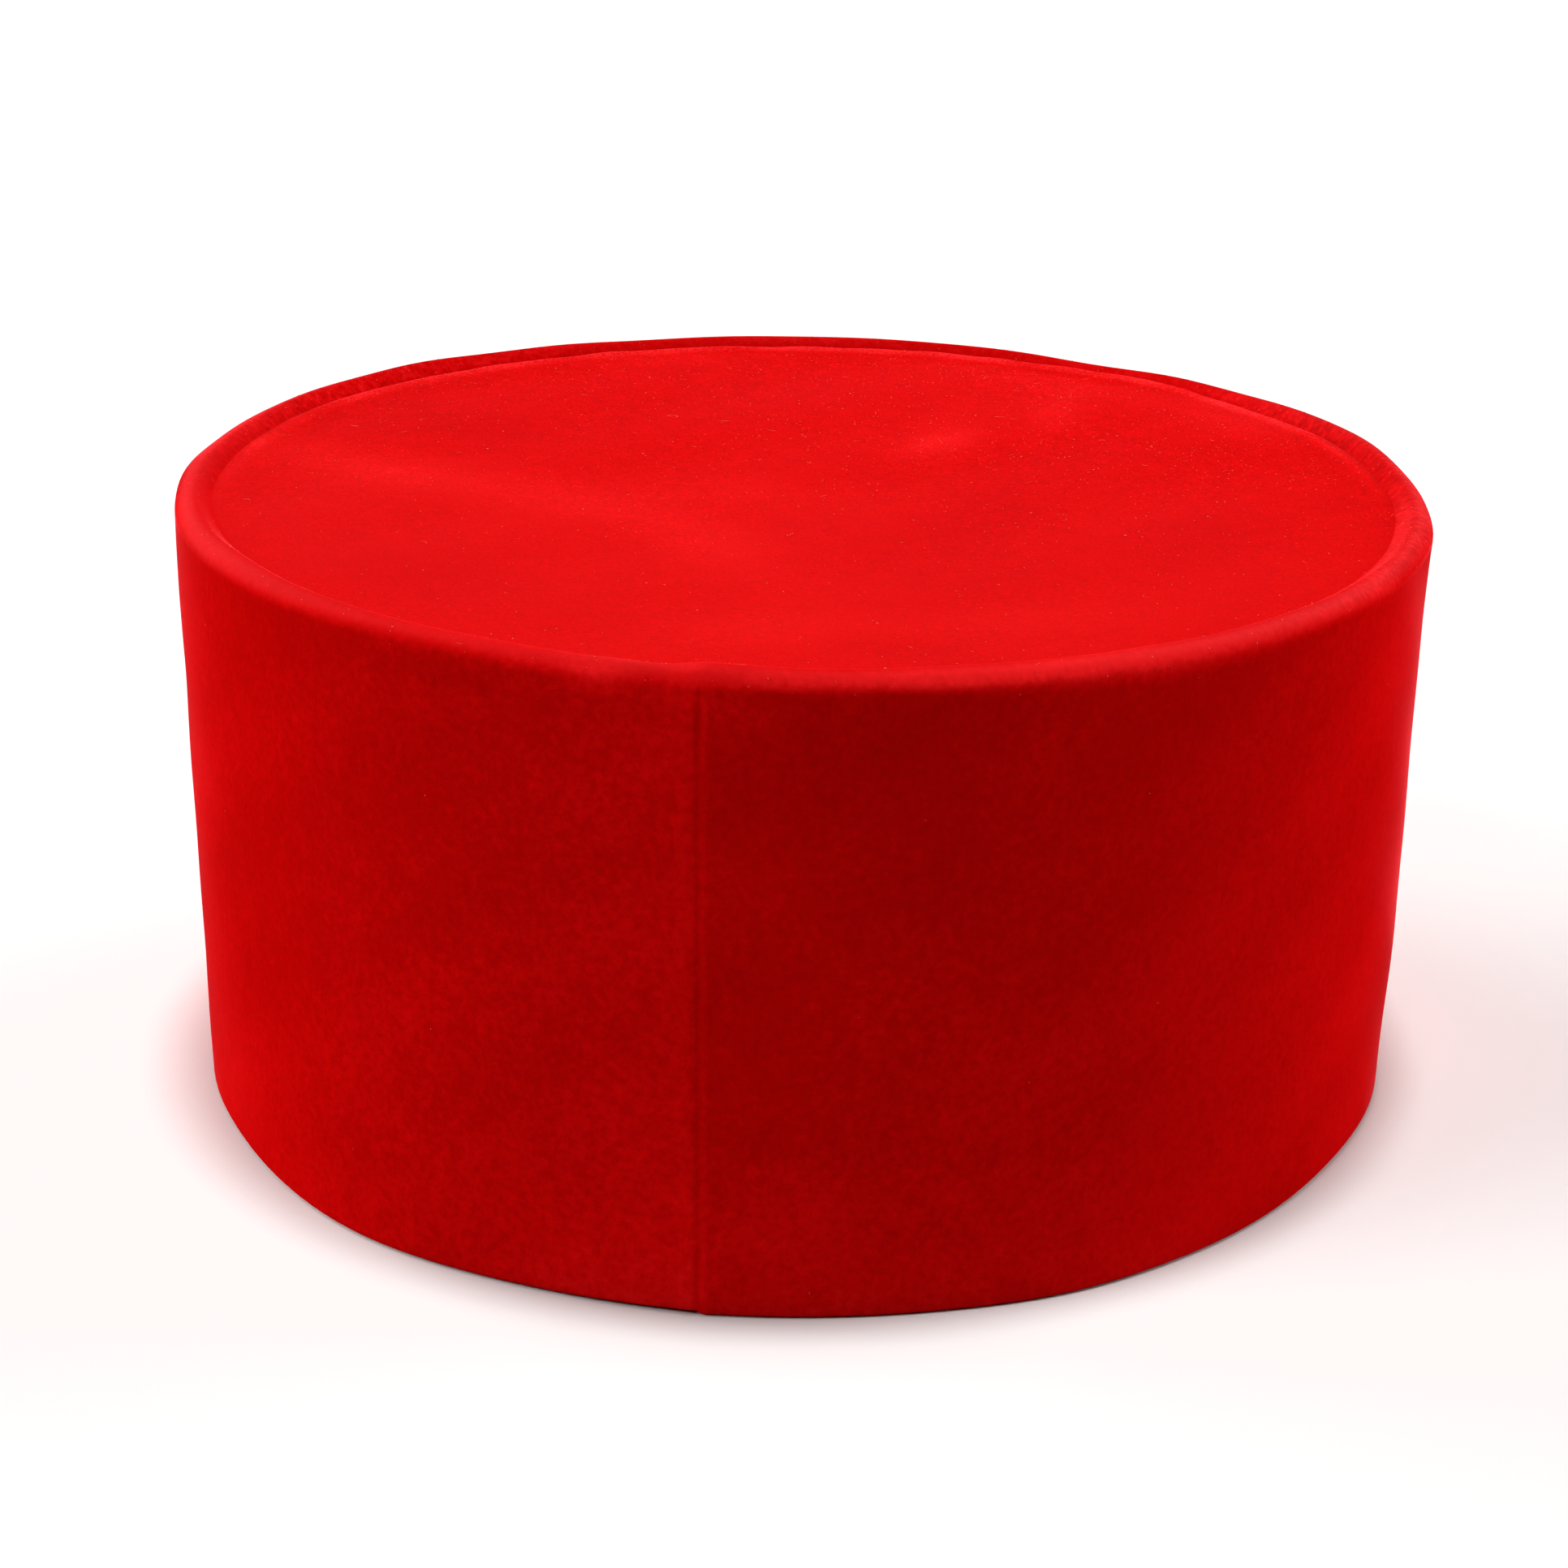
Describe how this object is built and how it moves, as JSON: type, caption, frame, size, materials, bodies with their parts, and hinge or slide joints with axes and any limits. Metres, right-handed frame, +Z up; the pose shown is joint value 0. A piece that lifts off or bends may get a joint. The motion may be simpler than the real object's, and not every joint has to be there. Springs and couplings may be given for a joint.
{
  "type": "masonic cap",
  "caption": "Oval pillbox cap of red velvet: a stiff, slightly flared side band with a rolled rim and a back seam, and a flat recessed top.",
  "frame": {"origin": "under the middle of the rim, in the plane of the hem, which is the bottom centre of the bounding box", "axes": "+Z up; +Y from the back seam to the front of the cap, along the oval's long axis; +X to the wearer's right"},
  "size_m": [0.1824, 0.2176, 0.087],
  "materials": {
    "band_velvet": "matt red cotton velvet with a soft sheen",
    "top_velvet": "matt red cotton velvet with a soft sheen"
  },
  "bodies": {
    "root": {"side_band": "band_velvet", "crown_top": "top_velvet"}
  },
  "joints": []
}
